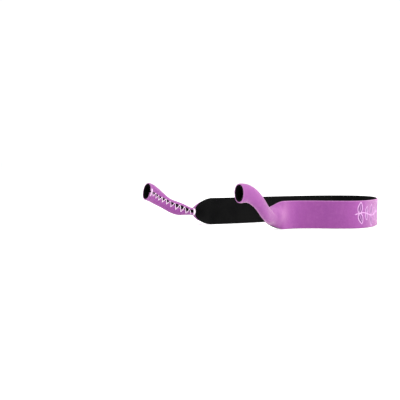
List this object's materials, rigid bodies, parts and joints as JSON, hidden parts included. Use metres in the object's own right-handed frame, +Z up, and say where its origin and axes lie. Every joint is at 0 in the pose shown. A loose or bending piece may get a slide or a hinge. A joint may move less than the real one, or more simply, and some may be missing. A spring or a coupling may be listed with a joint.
{
  "type": "eyeglass retainer strap",
  "caption": "Soft laminated neoprene strap for spectacles: a flat band looped behind the head whose ends roll into zigzag-sewn sleeves that grip the temple tips.",
  "frame": {"origin": "middle of the strap's overall box, on the surface that the band's lower edge stands on", "axes": "+Z up, +Y towards the closed back of the loop, the sleeve mouths face -Y, +X the wearer's left side"},
  "size_m": [0.113, 0.1924, 0.0339],
  "materials": {
    "outer_jersey": "matte knitted jersey",
    "foam_core": "matte closed-cell foam",
    "lining": "matte knitted jersey",
    "thread": "spun polyester thread"
  },
  "bodies": {
    "rear_loop": {"rear_loop_outer_jersey": "outer_jersey", "rear_loop_foam_core": "foam_core", "rear_loop_lining": "lining"},
    "left_run": {"left_run_outer_jersey": "outer_jersey", "left_run_foam_core": "foam_core", "left_run_lining": "lining"},
    "left_neck": {"left_neck_outer_jersey": "outer_jersey", "left_neck_foam_core": "foam_core", "left_neck_lining": "lining", "left_neck_tack": "thread"},
    "left_sleeve": {"left_sleeve_outer_jersey": "outer_jersey", "left_sleeve_foam_core": "foam_core", "left_sleeve_lining": "lining", "left_seam_thread": "thread", "left_mouth_tack": "thread"},
    "right_run": {"right_run_outer_jersey": "outer_jersey", "right_run_foam_core": "foam_core", "right_run_lining": "lining"},
    "right_neck": {"right_neck_outer_jersey": "outer_jersey", "right_neck_foam_core": "foam_core", "right_neck_lining": "lining", "right_neck_tack": "thread"},
    "right_sleeve": {"right_sleeve_outer_jersey": "outer_jersey", "right_sleeve_foam_core": "foam_core", "right_sleeve_lining": "lining", "right_seam_thread": "thread", "right_mouth_tack": "thread"}
  },
  "joints": [
    {"name": "left_loop_flex", "type": "hinge", "parent": "rear_loop", "child": "left_run", "pos_m": [0.05085, 0.03814, 0.0101], "axis": [0, 0, 1], "range_deg": [-6, 30], "stiffness_Nm_per_rad": 0.004},
    {"name": "left_neck_flex", "type": "hinge", "parent": "left_run", "child": "left_neck", "pos_m": [0.02893, -0.03071, 0.0101], "axis": [0, 0, 1], "range_deg": [-25, 30], "stiffness_Nm_per_rad": 0.003},
    {"name": "left_sleeve_twist", "type": "hinge", "parent": "left_neck", "child": "left_sleeve", "pos_m": [0.03686, -0.05642, 0.0122], "axis": [0.4292, -0.8096, 0.4004], "range_deg": [-45, 45], "stiffness_Nm_per_rad": 0.008},
    {"name": "right_loop_flex", "type": "hinge", "parent": "rear_loop", "child": "right_run", "pos_m": [-0.03596, 0.04398, 0.0101], "axis": [0, 0, -1], "range_deg": [-6, 30], "stiffness_Nm_per_rad": 0.004},
    {"name": "right_neck_flex", "type": "hinge", "parent": "right_run", "child": "right_neck", "pos_m": [-0.03977, -0.03315, 0.0101], "axis": [0, 0, -1], "range_deg": [-25, 30], "stiffness_Nm_per_rad": 0.003},
    {"name": "right_sleeve_twist", "type": "hinge", "parent": "right_neck", "child": "right_sleeve", "pos_m": [-0.04271, -0.06052, 0.0106], "axis": [-0.3138, -0.9495, 0], "range_deg": [-45, 45], "stiffness_Nm_per_rad": 0.008}
  ]
}
